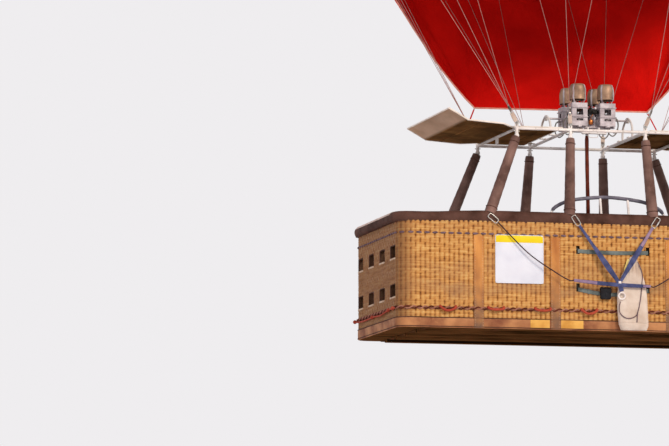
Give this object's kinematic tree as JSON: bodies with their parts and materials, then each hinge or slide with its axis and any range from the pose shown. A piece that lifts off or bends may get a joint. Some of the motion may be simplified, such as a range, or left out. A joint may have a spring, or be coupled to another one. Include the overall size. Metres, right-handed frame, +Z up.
{
  "type": "hot air balloon",
  "caption": "Passenger hot air balloon: gored envelope with parachute vent, scoop, cables, tilting quad burner on a load frame, heat shields and a partitioned wicker basket.",
  "frame": {"origin": "centre of the envelope at its widest ring, where its lift acts", "axes": "+Z up through the crown, +X along the basket's long side, +Y away from the basket's front with the placard"},
  "size_m": [27.5388, 27.5388, 31.6538],
  "materials": {
    "wicker": "woven willow and rattan, varnished",
    "hide_tan": "tan hide, scuffed",
    "hide_brown": "dark brown padded hide, satin",
    "floor_board": "dark stained board and runners",
    "frame_paint": "white gloss paint on thin tube",
    "shield_sheet": "weathered sheet with heat stains",
    "burner_steel": "heat-tinted stainless steel",
    "bar_white": "white gloss paint",
    "cylinder_steel": "brushed stainless steel",
    "hose_cover": "red-brown hide hose cover",
    "cable_steel": "stainless wire rope",
    "scoop_cloth": "red flame-resistant cloth, satin",
    "envelope_cloth": "red coated nylon, satin",
    "vent_cloth": "dark red coated nylon",
    "tape_web": "woven load tape",
    "sign_board": "white board with a plain yellow band, blank",
    "strap_dark": "dark grey-green woven strap",
    "bag_canvas": "off-white canvas",
    "karabiner_steel": "polished steel",
    "web_blue": "blue webbing",
    "rope_dark": "dark braided rope"
  },
  "bodies": {
    "airframe": {"basket_wall": "wicker", "skirting_band": "hide_tan", "floor_with_runners": "floor_board", "rim_roll": "hide_brown", "cross_partition_left": "wicker", "long_partition_left": "wicker", "cross_partition_right": "wicker", "long_partition_right": "wicker", "upright_front_outer_left": "hide_brown", "upright_front_inner_left": "hide_brown", "upright_front_outer_right": "hide_brown", "upright_front_inner_right": "hide_brown", "upright_back_outer_left": "hide_brown", "upright_back_inner_left": "hide_brown", "upright_back_outer_right": "hide_brown", "upright_back_inner_right": "hide_brown", "load_frame": "frame_paint", "heat_shield_left": "shield_sheet", "burner_cradle_left": "frame_paint", "heat_shield_right": "shield_sheet", "burner_cradle_right": "frame_paint", "fuel_cylinder_1": "cylinder_steel", "fuel_cylinder_2": "cylinder_steel", "fuel_cylinder_3": "cylinder_steel", "fuel_cylinder_4": "cylinder_steel", "fuel_hose": "hose_cover", "suspension_front_inner_left": "cable_steel", "suspension_front_outer_left": "cable_steel", "suspension_front_inner_right": "cable_steel", "suspension_front_outer_right": "cable_steel", "suspension_back_inner_left": "cable_steel", "suspension_back_outer_left": "cable_steel", "suspension_back_inner_right": "cable_steel", "suspension_back_outer_right": "cable_steel", "scoop": "scoop_cloth", "envelope_lower": "envelope_cloth", "envelope_middle": "envelope_cloth", "envelope_upper": "envelope_cloth", "envelope_crown": "envelope_cloth", "crown_ring_with_tapes": "tape_web", "placard": "sign_board", "cylinder_strap_upper": "strap_dark", "cylinder_strap_lower": "strap_dark", "line_bag": "bag_canvas", "rim_karabiner_1": "karabiner_steel", "rim_karabiner_2": "karabiner_steel", "rim_karabiner_3": "karabiner_steel", "rim_karabiner_4": "karabiner_steel", "bridle_webbing": "web_blue", "bridle_rope_left": "rope_dark", "bridle_rope_right": "rope_dark", "bridle_ring": "bar_white", "grab_rail": "frame_paint"},
    "burner": {"burner_tray": "burner_steel", "burner_unit_1": "burner_steel", "burner_unit_2": "burner_steel", "burner_unit_3": "burner_steel", "burner_unit_4": "burner_steel", "valve_bar": "bar_white"},
    "vent": {"parachute_valve": "vent_cloth"}
  },
  "joints": [
    {"name": "burner_tilt", "type": "hinge", "parent": "airframe", "child": "burner", "pos_m": [0, 0, -18.77661], "axis": [1, 0, 0], "range_deg": [-10, 10]},
    {"name": "parachute_slide", "type": "slide", "parent": "airframe", "child": "vent", "axis": [0, 0, -1], "range_m": [0, 1.2]}
  ]
}
